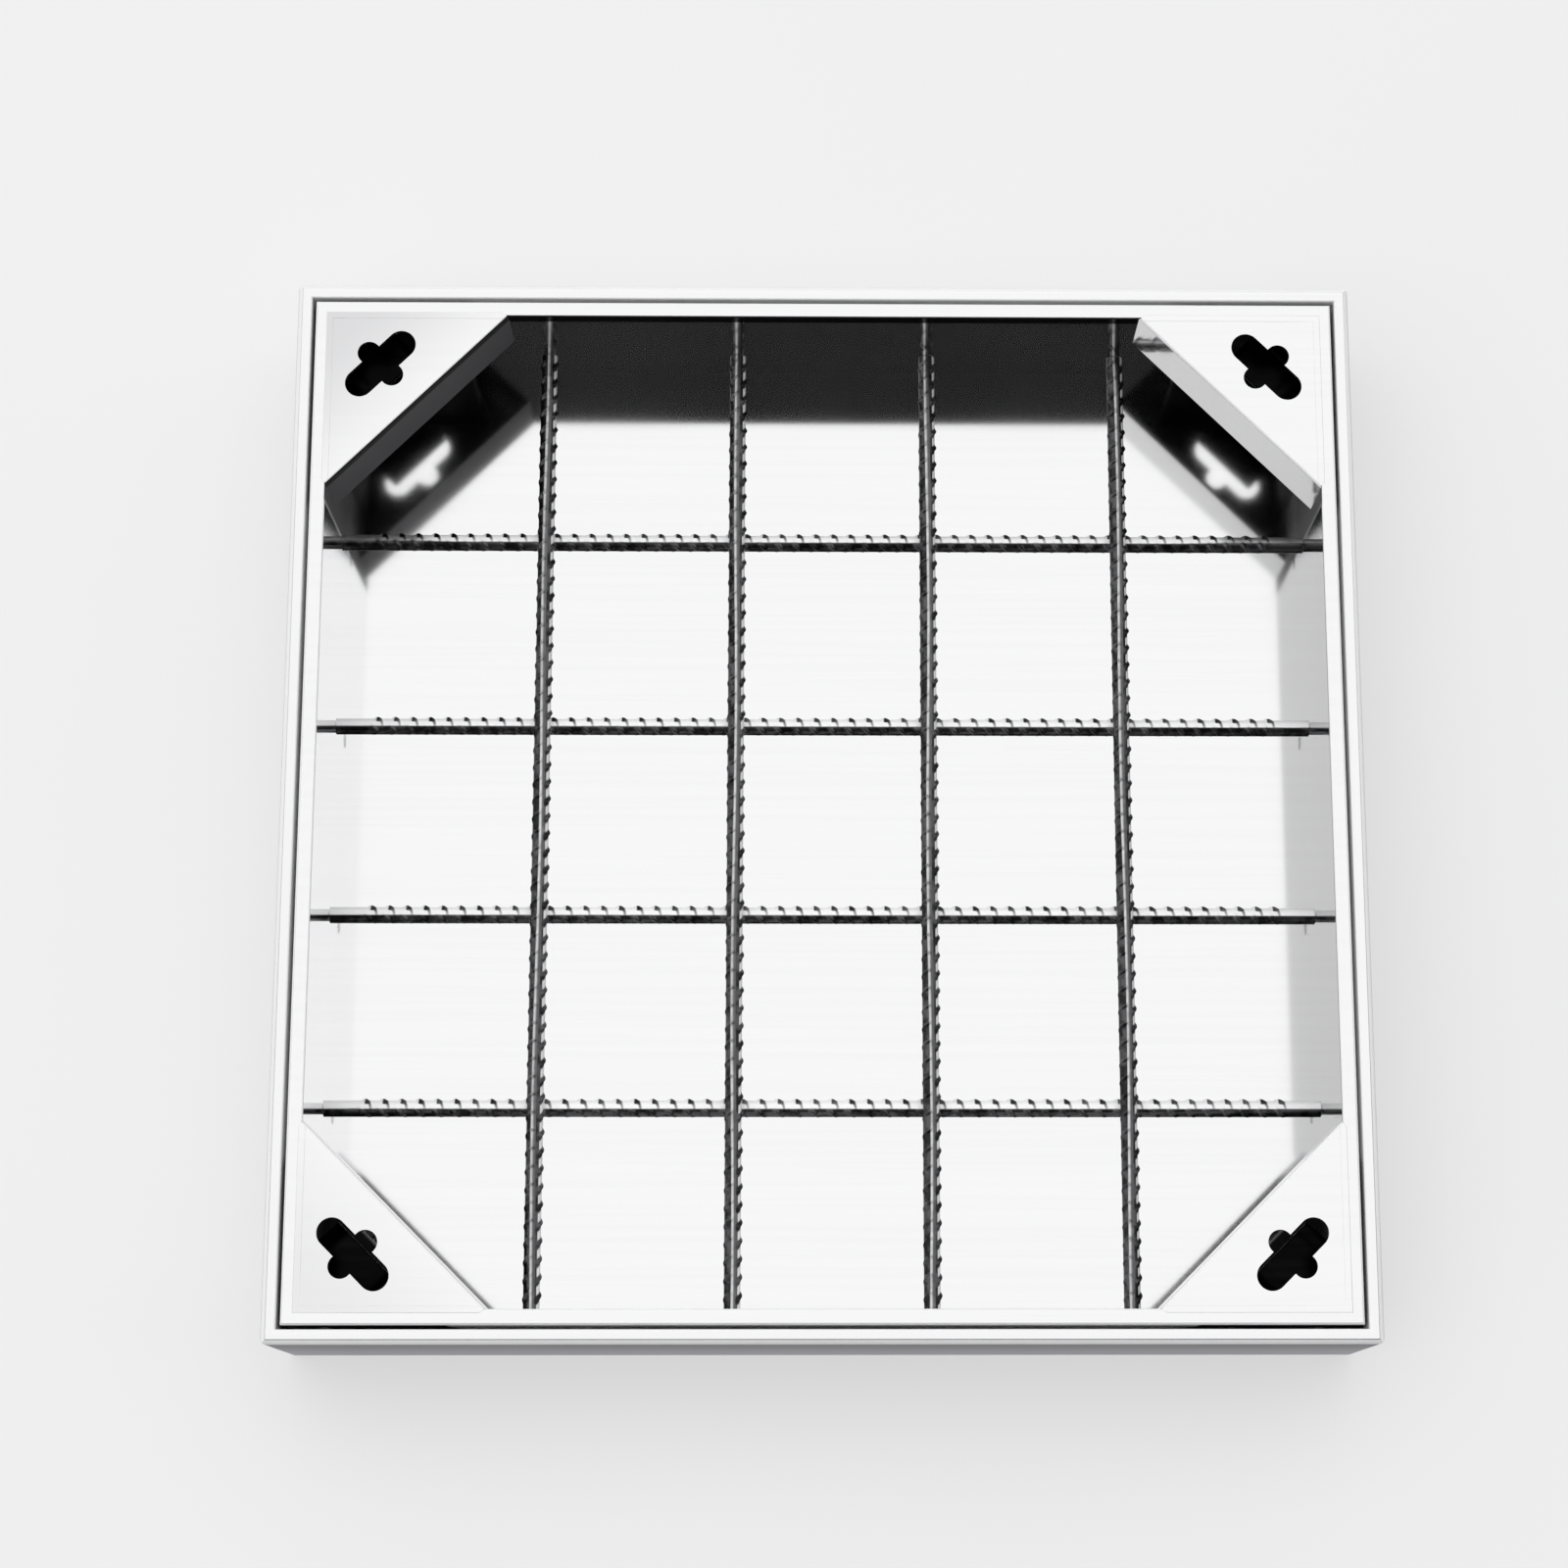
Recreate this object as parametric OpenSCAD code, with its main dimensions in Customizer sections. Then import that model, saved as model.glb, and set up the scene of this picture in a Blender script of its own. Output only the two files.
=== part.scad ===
// Square recessed cover for a septic tank: a folded sheet frame that is set in
// the paving, and a loose tray inside it that is filled with paving of its own.
// Origin at the middle of the frame's underside, +Z up, +Y away from the viewer.

/* [Frame] */
// Outside width of the square frame
frame_w = 600; // [450:10:900]
// Height of the frame, from its underside to its top edge
frame_h = 100; // [80:5:150]
// Thickness of the sheet that the frame is folded from
frame_t = 2.5; // [1.5:0.25:3]
// Width of the frame's flat top edge
frame_rim = 8.25; // [6.5:0.25:14]
// Height of the hem that hangs inside the frame's top edge
frame_hem = 18; // [8:1:30]
// Width of the ledge at the foot of the frame, from the outside face
ledge_w = 36; // [30:1:60]
// Radius on the outside of the folds round the frame's outside wall
frame_bend = 3; // [1.5:0.25:5]
// Radius on the outside of the fold between the frame's top edge and its hem
hem_bend = 1; // [0.5:0.25:3]
// Radius of the frame's four welded and ground corners
frame_corner_r = 4; // [1:0.5:8]

/* [Seal] */
// Width of the rubber strip on the ledge
seal_w = 12; // [8:1:16]
// Height of the rubber strip, which carries the tray
seal_h = 7.5; // [4:0.5:12]
// Distance from the ledge's free edge to the strip
seal_inset = 4; // [1:0.5:5]
// Radius of the strip's two upper edges
seal_r = 2; // [0.5:0.25:3.5]

/* [Tray] */
// Gap all round between the tray and the frame's top edge
tray_gap = 2.25; // [1.5:0.25:6]
// Thickness of the sheet that the tray is folded from
tray_t = 2; // [1:0.25:2.5]
// Width of the tray's flat top edge
tray_rim = 8.5; // [6:0.5:14]
// Height of the hem that hangs outside the tray's top edge
tray_hem = 20; // [8:1:40]
// Radius on the outside of the tray's folds
tray_bend = 1; // [0.5:0.25:2.5]

/* [Corner plates] */
// Length of a corner plate along each wall of the tray
corner_leg = 101; // [85:1:150]
// Thickness of a corner plate
corner_t = 3; // [2:0.5:5]
// Height of the lip that is folded down from the slanting edge
lip_h = 38; // [10:1:40]
// Radius on the outside of the fold between a plate and its lip
corner_bend = 1.5; // [1:0.25:5]
// Distance from each wall of the tray to the middle of the keyhole
key_inset = 29; // [26:1:34]
// Overall length of the keyhole's long slot
key_long = 49; // [36:1:54]
// Width of the keyhole's long slot
key_long_w = 16.4; // [10:0.2:18]
// Overall length of the keyhole's short cross slot
key_cross = 31.6; // [24:0.2:36]
// Width of the keyhole's short cross slot
key_cross_w = 13.2; // [8:0.2:16]

/* [Bars] */
// Number of bars each way
bar_count = 4; // [2:1:6]
// Diameter of a bar between its ribs
bar_d = 9.2; // [6:0.2:14]
// Distance between neighbouring bars
bar_pitch = 111; // [70:1:115]
// Distance that the lengthwise bars sit to the right of the middle
long_shift = 5; // [-10:1:10]
// Distance that the crosswise bars sit behind the middle
cross_shift = 2.5; // [-10:0.5:10]
// Clear height between the tray's floor and the lower bars
bar_clear = 11.5; // [4:0.5:20]
// Plain length at each end of a lengthwise bar
long_plain = 6; // [5:1:30]
// Plain length at each end of a crosswise bar
cross_plain = 17; // [5:1:30]

/* [Ribs on the bars] */
// Height of a crescent rib at its middle
rib_h = 1.1; // [0.4:0.1:1.6]
// Thickness of a rib
rib_w = 2; // [1:0.25:3]
// Slant of a rib across the bar
rib_slant = 35; // [0:1:45]
// Angle round the bar from a rib's middle to its tip
rib_reach = 52; // [30:1:56]
// Number of ribs from one crossing to the next
ribs_per_cell = 11; // [7:1:12]
// Rows of ribs round a bar
rib_rows = 3; // [2:1:3]
// Turn of the first row above the bar's side
rib_turn = 12; // [0:1:60]

/* [Hidden] */
$fn = 64;

// Turns about Z that carry the right-hand side to each of the four sides
side_right = 0;
side_back = 90;
side_left = 180;
side_front = 270;

// Tray, measured from the middle of the cover
tray_half = frame_w / 2 - frame_rim - tray_gap;
wall_in = tray_half - tray_rim;
tray_z = frame_t + seal_h;
floor_z = tray_z + tray_t;

// Keyhole, measured from the middle of the cover
key_at = wall_in - key_inset;
slant_at = wall_in - corner_leg / 2;

// Bars
bar_r = bar_d / 2;
bar_len = 2 * wall_in;
cross_z = floor_z + bar_clear + bar_r;
long_z = cross_z + bar_d;

// Ribs: each row is the part of a smaller, off-centre round bar that stands out
rib_pitch = bar_pitch / ribs_per_cell;
lobe_off = (pow(bar_r + rib_h, 2) - pow(bar_r, 2)) / (2 * (bar_r + rib_h - bar_r * cos(rib_reach)));
lobe_r = bar_r + rib_h - lobe_off;
rib_span = 2 * (lobe_r + rib_w);

// Strip of sheet folded square along a path through the middle of its thickness,
// with the outside radius of each fold in turn
module folded_strip(path, t, bends) {
    last = len(path) - 1;
    trims = [0, for (bend = bends) bend - t / 2, 0];
    for (i = [0 : last - 1]) {
        run = path[i + 1] - path[i];
        translate(path[i])
            rotate(atan2(run[1], run[0]))
                translate([trims[i], -t / 2])
                    square([norm(run) - trims[i] - trims[i + 1], t]);
    }
    for (i = [1 : last - 1]) {
        into = (path[i] - path[i - 1]) / norm(path[i] - path[i - 1]);
        out = (path[i + 1] - path[i]) / norm(path[i + 1] - path[i]);
        left_turn = into[0] * out[1] - into[1] * out[0] > 0;
        turn = left_turn ? atan2(-out[1], -out[0]) : atan2(into[1], into[0]);
        translate(path[i] + trims[i] * (out - into))
            rotate(turn)
                square_fold(bends[i - 1], t);
    }
}

// Quarter of a round fold, by the radius on its outside
module square_fold(bend, t) {
    intersection() {
        difference() {
            circle(r = bend);
            if (bend > t)
                circle(r = bend - t);
        }
        square(bend);
    }
}

// Right-hand side of a square ring, from an outline in X and Z, cut to mitres
module mitred_side() {
    reach = frame_w / 2 + 1;
    intersection() {
        rotate([90, 0, 0])
            linear_extrude(height = frame_w, center = true)
                children();
        translate([0, 0, -1])
            linear_extrude(height = frame_h + 2)
                polygon([[0, 0], [reach, -reach], [reach, reach]]);
    }
}

// Frame rail: ledge, outside wall, flat top edge and hem, folded from one strip,
// with its mitred ends ground round where they meet the next rail's
module frame_rail(side) {
    outside = frame_w / 2 - frame_t / 2;
    hem = frame_w / 2 - frame_rim + frame_t / 2;
    top = frame_h - frame_t / 2;
    color("gainsboro")
        intersection() {
            rotate(side)
                mitred_side()
                    folded_strip([
                        [frame_w / 2 - ledge_w, frame_t / 2],
                        [outside, frame_t / 2],
                        [outside, top],
                        [hem, top],
                        [hem, frame_h - frame_hem]
                    ], frame_t, [frame_bend, frame_bend, hem_bend]);
            translate([0, 0, -1])
                linear_extrude(height = frame_h + 2)
                    rounded_square(frame_w, frame_corner_r);
        }
}

// Square with round corners, centred
module rounded_square(width, r) {
    square([width - 2 * r, width], center = true);
    square([width, width - 2 * r], center = true);
    for (x = [-1, 1])
        for (y = [-1, 1])
            translate([x * (width / 2 - r), y * (width / 2 - r)])
                circle(r = r);
}

// Rubber strip along one side of the ledge, with rounded upper edges
module seal_strip(side) {
    inner = frame_w / 2 - ledge_w + seal_inset;
    color("dimgray")
        rotate(side)
            mitred_side()
                translate([inner, frame_t]) {
                    square([seal_w, seal_h - seal_r]);
                    translate([seal_r, 0])
                        square([seal_w - 2 * seal_r, seal_h]);
                    for (x = [seal_r, seal_w - seal_r])
                        translate([x, seal_h - seal_r])
                            circle(r = seal_r);
                }
}

// Tray: floor, walls, flat top edge and hem, folded from one sheet
module tray_pan() {
    wall = wall_in + tray_t / 2;
    hem = tray_half - tray_t / 2;
    top = frame_h - tray_t / 2;
    color("silver")
        for (side = [side_right, side_back, side_left, side_front])
            rotate(side)
                mitred_side()
                    folded_strip([
                        [0, tray_z + tray_t / 2],
                        [wall, tray_z + tray_t / 2],
                        [wall, top],
                        [hem, top],
                        [hem, frame_h - tray_hem]
                    ], tray_t, [tray_bend, tray_bend, tray_bend]);
}

// Straight slot with round ends, along X
module slot(length, width) {
    square([length - width, width], center = true);
    for (x = [-1, 1])
        translate([x * (length - width) / 2, 0])
            circle(d = width);
}

// Corner plate: flush triangle with a cross-shaped keyhole, and a folded lip
module corner_plate(side) {
    reach = wall_in * sqrt(2);
    slant = slant_at * sqrt(2);
    color("whitesmoke")
        rotate(side)
            difference() {
                intersection() {
                    rotate([90, 0, 45])
                        linear_extrude(height = 2 * corner_leg, center = true)
                            folded_strip([
                                [reach, frame_h - corner_t / 2],
                                [slant + corner_t / 2, frame_h - corner_t / 2],
                                [slant + corner_t / 2, frame_h - lip_h]
                            ], corner_t, [corner_bend]);
                    translate([wall_in - corner_leg, wall_in - corner_leg, 0])
                        cube([corner_leg, corner_leg, frame_h]);
                }
                translate([key_at, key_at, frame_h - 2 * corner_t])
                    linear_extrude(height = 3 * corner_t)
                        rotate(-45) {
                            slot(key_long, key_long_w);
                            rotate(90)
                                slot(key_cross, key_cross_w);
                        }
            }
}

// Ribbed bar along X, centred, with its ribs counted from a crossing at from_x
module ribbed_bar(from_x, plain) {
    half = bar_len / 2;
    first = ceil((plain - half - from_x) / rib_pitch - 0.5);
    last = floor((half - plain - from_x) / rib_pitch - 0.5);
    rotate([0, 90, 0])
        cylinder(h = bar_len, r = bar_r, center = true);
    for (row = [0 : rib_rows - 1])
        rotate([rib_turn + row * 360 / rib_rows, 0, 0])
            intersection() {
                translate([0, lobe_off, 0])
                    rotate([0, 90, 0])
                        cylinder(h = bar_len, r = lobe_r, center = true);
                union()
                    for (k = [first : last])
                        translate([from_x + (k + 0.5) * rib_pitch, bar_r, 0])
                            rotate([0, rib_slant, 0])
                                cube([rib_w, 2 * bar_r, rib_span], center = true);
            }
}

// Place of bar number i along its row, the middle of the row at zero
function bar_at(i) = (i - (bar_count + 1) / 2) * bar_pitch;

// Upper bars, from front to back
module long_bar(i) {
    color("dimgray")
        translate([bar_at(i) + long_shift, 0, long_z])
            rotate(-90)
                ribbed_bar(bar_at(1) - cross_shift, long_plain);
}

// Lower bars, from left to right
module cross_bar(i) {
    color("dimgray")
        translate([0, bar_at(i) + cross_shift, cross_z])
            ribbed_bar(bar_at(1) + long_shift, cross_plain);
}

frame_rail(side_front);  // frame_rail_front
frame_rail(side_right);  // frame_rail_right
frame_rail(side_back);  // frame_rail_back
frame_rail(side_left);  // frame_rail_left
seal_strip(side_front);  // seal_strip_front
seal_strip(side_right);  // seal_strip_right
seal_strip(side_back);  // seal_strip_back
seal_strip(side_left);  // seal_strip_left
tray_pan();
corner_plate(side_left);  // corner_plate_front_left
corner_plate(side_front);  // corner_plate_front_right
corner_plate(side_right);  // corner_plate_back_right
corner_plate(side_back);  // corner_plate_back_left
long_bar(1);  // long_bar_1
long_bar(2);  // long_bar_2
long_bar(3);  // long_bar_3
long_bar(4);  // long_bar_4
cross_bar(1);  // cross_bar_1
cross_bar(2);  // cross_bar_2
cross_bar(3);  // cross_bar_3
cross_bar(4);  // cross_bar_4
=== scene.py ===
"""Looks for a square recessed septic tank cover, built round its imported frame.

A folded sheet frame holds a loose tray of bright stainless sheet, with a keyholed plate in each
corner and a grid of dark ribbed bars. All lengths are in metres, in the frame of the solids, and X
runs to the right, Y to the back and Z up from the frame's underside.
"""

import logging
import math
from dataclasses import dataclass
from enum import Enum
from functools import reduce

import bpy
import numpy as np
from mathutils import Matrix, Vector


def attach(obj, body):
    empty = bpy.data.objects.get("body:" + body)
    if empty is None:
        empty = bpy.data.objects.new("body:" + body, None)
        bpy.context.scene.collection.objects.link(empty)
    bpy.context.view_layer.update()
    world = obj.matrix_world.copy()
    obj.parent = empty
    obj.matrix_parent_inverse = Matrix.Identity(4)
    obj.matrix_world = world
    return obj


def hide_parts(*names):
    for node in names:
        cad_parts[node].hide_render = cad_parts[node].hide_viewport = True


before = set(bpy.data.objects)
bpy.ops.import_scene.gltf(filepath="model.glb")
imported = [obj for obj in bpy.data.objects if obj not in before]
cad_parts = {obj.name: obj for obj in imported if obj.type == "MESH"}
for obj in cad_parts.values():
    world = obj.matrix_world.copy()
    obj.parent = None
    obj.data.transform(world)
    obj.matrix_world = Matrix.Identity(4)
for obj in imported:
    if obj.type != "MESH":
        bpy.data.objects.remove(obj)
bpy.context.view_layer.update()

LOG = logging.getLogger("septic_tank_cover")
Socket = bpy.types.NodeSocket
Colour = tuple[float, float, float]
Span = tuple[float, float]

MM = 0.001
SIDES = ("front", "right", "back", "left")
CORNERS = ("front_left", "front_right", "back_right", "back_left")
# Half the frame's width, height of the top edges, and half the clear width between the tray's walls
OUTSIDE = 300 * MM
TOP = 100 * MM
WALL = 281 * MM
# Spans over which a mask steps: one across the middle planes, and two of the normal's upward part
MIDDLE: Span = (-MM, MM)
FLAT: Span = (0.95, 0.998)
UNDERSIDE: Span = (-0.7, -0.4)
# Span of the normal's backward part, for what faces the front
FACES_FRONT: Span = (-0.5, -0.3)


class Grain(Enum):
    """Direction in which a sheet was rolled and brushed."""

    ALONG_X = "x"
    ALONG_Y = "y"


class Run(Enum):
    """Direction of a ribbed bar in the tray."""

    LENGTHWISE = "long"
    CROSSWISE = "cross"


# Shader helpers


class Graph:
    """Short way to write a node tree: each call adds a node and wires its inputs."""

    def __init__(self, tree: bpy.types.NodeTree) -> None:
        """Wraps the node tree of a material, a world or a group."""
        self.tree = tree

    def node(self, kind: str, **settings: object) -> bpy.types.Node:
        """Adds a node and sets its properties.

        Args:
            kind: node type without its ShaderNode prefix.
            settings: properties by name.

        Returns:
            The new node.
        """
        prefix = "" if kind.startswith("NodeGroup") else "ShaderNode"
        made = self.tree.nodes.new(prefix + kind)
        for name, value in settings.items():
            setattr(made, name, value)
        return made

    def feed(self, socket: Socket, value: object) -> None:
        """Links a socket to an output, or sets its value.

        Args:
            socket: input to feed.
            value: an output socket, a number or a tuple.
        """
        if isinstance(value, bpy.types.NodeSocket):
            self.tree.links.new(value, socket)
        else:
            socket.default_value = value

    def fill(self, node: bpy.types.Node, values: dict[str, object]) -> None:
        """Feeds a node's inputs by name."""
        for name, value in values.items():
            self.feed(node.inputs[name], value)

    def math(self, operation: str, *values: object) -> Socket:
        """Adds a Math node.

        Args:
            operation: name of the operation.
            values: its inputs, outputs of other nodes or numbers.

        Returns:
            The result.
        """
        made = self.node("Math", operation=operation)
        for socket, value in zip(made.inputs, values):
            self.feed(socket, value)
        return made.outputs[0]

    def size(self, value: object) -> Socket:
        """Takes a number without its sign."""
        return self.math("ABSOLUTE", value)

    def larger(self, first: object, second: object) -> Socket:
        """Takes the larger of two numbers, which joins two masks."""
        return self.math("MAXIMUM", first, second)

    def both(self, *masks: Socket) -> Socket:
        """Multiplies masks, so that the result is 1 only where all of them are."""
        return reduce(lambda first, second: self.math("MULTIPLY", first, second), masks)

    def ramp(self, value: object, span: Span, start: float = 0.0, end: float = 1.0) -> Socket:
        """Smooth step from one value to another.

        Args:
            value: input.
            span: inputs at which the step starts and ends.
            start: result at the start of the span.
            end: result at its end.

        Returns:
            The result.
        """
        made = self.node("MapRange", interpolation_type="SMOOTHSTEP")
        for socket, number in zip(made.inputs, (value, *span, start, end)):
            self.feed(socket, number)
        return made.outputs[0]

    def fall(self, value: object, span: Span) -> Socket:
        """Smooth step down from 1 to 0 over a span."""
        return self.ramp(value, span, 1.0, 0.0)

    def noise(self, vector: Socket, scale: object, detail: float = 2.0, roughness: float = 0.5) -> Socket:
        """Cloud noise between 0 and 1.

        Args:
            vector: coordinates.
            scale: lumps per unit, a number or an output.
            detail: number of finer layers.
            roughness: strength of the finer layers.

        Returns:
            The noise value.
        """
        made = self.node("TexNoise")
        self.fill(made, {"Vector": vector, "Scale": scale, "Detail": detail, "Roughness": roughness})
        return made.outputs[0]

    def split(self, vector: Socket) -> list[Socket]:
        """Splits a vector.

        Args:
            vector: the vector.

        Returns:
            Its three numbers.
        """
        made = self.node("SeparateXYZ")
        self.feed(made.inputs[0], vector)
        return list(made.outputs)

    def blend(self, factor: object, first: object, second: object) -> Socket:
        """Mixes two colours.

        Args:
            factor: share of the second.
            first: colour at 0, an output or a tuple of three numbers.
            second: colour at 1, given likewise.

        Returns:
            The mixed colour.
        """
        made = self.node("Mix", data_type="RGBA")
        self.feed(made.inputs["Factor"], factor)
        colours = [socket for socket in made.inputs if socket.type == "RGBA"]
        for socket, colour in zip(colours, (first, second)):
            self.feed(socket, (*colour, 1.0) if isinstance(colour, tuple) else colour)
        return next(socket for socket in made.outputs if socket.type == "RGBA")

    def place(self) -> Socket:
        """Place on the piece, in the frame of the solids."""
        return self.node("TexCoord").outputs["Object"]

    def normal(self) -> list[Socket]:
        """The three parts of the surface's normal."""
        return self.split(self.node("NewGeometry").outputs["Normal"])

    def bump(self, height: Socket, strength: float, distance: float) -> Socket:
        """Turns a height into a normal.

        Args:
            height: the height, between 0 and 1.
            strength: strength of the effect.
            distance: height that 1 stands for.

        Returns:
            The normal.
        """
        made = self.node("Bump")
        self.fill(made, {"Strength": strength, "Distance": distance, "Height": height})
        return made.outputs[0]

    def group(self, tree: bpy.types.NodeTree, **values: object) -> bpy.types.Node:
        """Places a node group.

        Args:
            tree: the group.
            values: its inputs by name.

        Returns:
            The group node.
        """
        made = self.node("Group", node_tree=tree)
        self.fill(made, values)
        return made


def new_material(name: str) -> tuple[bpy.types.Material, Graph, bpy.types.Node]:
    """Makes a material with a Principled shader.

    Args:
        name: name of the material.

    Returns:
        The material, its graph and its shader.
    """
    material = bpy.data.materials.new(name)
    material.use_nodes = True
    return material, Graph(material.node_tree), material.node_tree.nodes["Principled BSDF"]


def new_group(name: str, inputs: dict[str, object],
              outputs: tuple[str, ...]) -> tuple[Graph, bpy.types.Node, bpy.types.Node]:
    """Makes an empty shader node group with named sockets.

    Args:
        name: name of the group.
        inputs: default value by input name, a tuple for a vector.
        outputs: names of its outputs, each a number.

    Returns:
        The graph, its input node and its output node.
    """
    tree = bpy.data.node_groups.new(name, "ShaderNodeTree")
    for label, value in inputs.items():
        kind = "NodeSocketVector" if isinstance(value, tuple) else "NodeSocketFloat"
        tree.interface.new_socket(label, in_out="INPUT", socket_type=kind).default_value = value
    for label in outputs:
        tree.interface.new_socket(label, in_out="OUTPUT", socket_type="NodeSocketFloat")
    graph = Graph(tree)
    return graph, graph.node("NodeGroupInput"), graph.node("NodeGroupOutput")


def brushed_group() -> bpy.types.NodeTree:
    """Rolled and brushed sheet: fine streaks, long soft waves and faint cloudy patches.

    Streaks are noise whose coordinates are squeezed along the grain, so each lump becomes a line.

    Returns:
        The node group, with Height, Streak and Cloud outputs.
    """
    broad_scale, broad_share = 0.16, 0.6
    inputs = {"Vector": (0, 0, 0), "Length": 12.0, "Fineness": 1400.0, "Clouds": 9.0}
    graph, given, made = new_group("Brushed sheet", inputs, ("Height", "Streak", "Cloud"))
    squeezed = graph.node("CombineXYZ")
    squeeze = ("Length", "Fineness", "Fineness")
    for socket, part, label in zip(squeezed.inputs, graph.split(given.outputs["Vector"]), squeeze):
        graph.feed(socket, graph.math("MULTIPLY", part, given.outputs[label]))
    fine = graph.noise(squeezed.outputs[0], 1.0, detail=3.0, roughness=0.6)
    broad = graph.noise(squeezed.outputs[0], broad_scale)
    cloud = graph.noise(given.outputs["Vector"], given.outputs["Clouds"])
    streak = graph.math("MULTIPLY_ADD", broad, broad_share, graph.math("MULTIPLY", fine, 1 - broad_share))
    graph.fill(made, {"Height": fine, "Streak": streak, "Cloud": cloud})
    return graph.tree


def scale_group() -> bpy.types.NodeTree:
    """Surface of ribbed bar: small pits, patches of black scale, and painted light between the ribs' painted
    shade marks.

    Patch noise makes the edges of the painted light, and of the painted shade marks on the ribs, ragged.

    Returns:
        The node group, with Height, Scale and Bright outputs.
    """
    ragged_depth, rib_share = 0.3, 0.5
    inputs = {"Vector": (0, 0, 0), "Bare": 0.0, "Rib": 0.0, "Patches": 110.0}
    graph, given, made = new_group("Ribbed bar surface", inputs, ("Height", "Scale", "Bright"))
    pits = graph.noise(given.outputs["Vector"], 1900.0, detail=3.0, roughness=0.65)
    patch = graph.noise(given.outputs["Vector"], given.outputs["Patches"], detail=4.0)
    ragged = graph.math("MULTIPLY_ADD", patch, ragged_depth, -ragged_depth / 2)
    # Painted light of the lit side, with ragged edges
    lit = graph.ramp(graph.math("ADD", given.outputs["Bare"], ragged), (0.25, 0.75))
    # Painted shade marks on the ribs break the painted light
    clear = graph.fall(graph.math("MULTIPLY_ADD", ragged, rib_share, given.outputs["Rib"]), (0.22, 0.70))
    scale = graph.ramp(patch, (0.40, 0.62))
    graph.fill(made, {"Height": pits, "Scale": scale, "Bright": graph.both(lit, clear)})
    return graph.tree


# Finishes


@dataclass
class Look:
    """What a finish works out for each point of a surface."""

    graph: Graph
    spot: list[Socket]
    facing: list[Socket]
    colour: Socket
    roughness: Socket
    metal: Socket | float = 1.0

    def flat(self) -> Socket:
        """How level the surface is: 1 on top or below, 0 on an upright face."""
        return self.graph.size(self.facing[2])

    def reach(self) -> Socket:
        """Distance from the middle across a square: the larger of X and Y without their signs."""
        return self.graph.larger(self.graph.size(self.spot[0]), self.graph.size(self.spot[1]))

    def slant(self) -> Socket:
        """Distance from the middle towards a corner: the sum of X and Y without their signs."""
        return self.graph.math("ADD", self.graph.size(self.spot[0]), self.graph.size(self.spot[1]))

    def paint(self, mask: Socket, tone: object) -> None:
        """Lays a tone over the colour where the mask is 1."""
        self.colour = self.graph.blend(mask, self.colour, tone)

    def dull(self, mask: Socket, roughness: float, metal: float) -> None:
        """Makes the surface satin.

        Args:
            mask: 1 where it is satin.
            roughness: what is added to the roughness there.
            metal: how metallic it is there.
        """
        self.roughness = self.graph.math("MULTIPLY_ADD", mask, roughness, self.roughness)
        self.metal = self.graph.math("MULTIPLY_ADD", mask, metal - 1.0, 1.0)


@dataclass(frozen=True)
class SheetFinish:
    """Rolled stainless sheet with fine streaks along its grain and faint cloudy patches."""

    name: str
    grain: Grain
    tone: Colour = (0.90, 0.90, 0.905)
    streak_tone: Colour = (0.885, 0.885, 0.892)
    roughness: float = 0.10
    roughness_spread: float = 0.02
    streak_span: Span = (0.42, 0.62)
    cloud_span: Span = (0.3, 0.7)
    bump: float = 0.006
    bump_depth: float = 0.05 * MM

    def shade(self, look: Look) -> None:
        """Leaves the look as it is. A finish whose tone changes from place to place overrides this."""

    def build(self, brushed: bpy.types.NodeTree) -> bpy.types.Material:
        """Makes the material.

        Args:
            brushed: the brushed sheet group.

        Returns:
            The material.
        """
        material, graph, shader = new_material(self.name)
        place = graph.place()
        turned = graph.node("Mapping")
        graph.feed(turned.inputs["Vector"], place)
        if self.grain is Grain.ALONG_Y:
            turned.inputs["Rotation"].default_value = (0.0, 0.0, math.radians(90))
        sheet = graph.group(brushed, Vector=turned.outputs[0])
        streak = graph.ramp(sheet.outputs["Streak"], self.streak_span)
        low = self.roughness - self.roughness_spread / 2
        level = graph.ramp(sheet.outputs["Cloud"], self.cloud_span, low, low + self.roughness_spread)
        colour = graph.blend(streak, self.tone, self.streak_tone)
        look = Look(graph, graph.split(place), graph.normal(), colour, level)
        self.shade(look)
        graph.fill(shader, {
            "Base Color": look.colour,
            "Roughness": look.roughness,
            "Metallic": look.metal,
            "Normal": graph.bump(sheet.outputs["Height"], self.bump, self.bump_depth)})
        return material


@dataclass(frozen=True)
class FrameSteel(SheetFinish):
    """Frame sheet: bright top edge, satin folds, and painted shade on outside faces, darker towards the top.
    """

    # Painted shade of the outside faces: dark at their top, lighter at their foot
    top_shade_tone: Colour = (0.16, 0.157, 0.18)
    foot_shade_tone: Colour = (0.55, 0.545, 0.60)
    outer: Span = (OUTSIDE - 4 * MM, OUTSIDE - 3.5 * MM)
    upright: Span = (0.05, 0.65)
    satin: float = 0.5
    satin_metal: float = 0.2

    def shade(self, look: Look) -> None:
        """Paints shade on the outside faces, darker towards their top, and dulls all that isn't level.

        Args:
            look: the look so far, changed in place.
        """
        graph = look.graph
        # Painted shade on the outside faces, from the foot's tone up to the top's
        face = graph.blend(graph.ramp(look.spot[2], (0.0, TOP)), self.foot_shade_tone, self.top_shade_tone)
        outside = graph.both(graph.ramp(look.reach(), self.outer), graph.fall(look.flat(), self.upright))
        look.paint(outside, face)
        look.dull(graph.fall(look.flat(), FLAT), self.satin - self.roughness, self.satin_metal)


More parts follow.
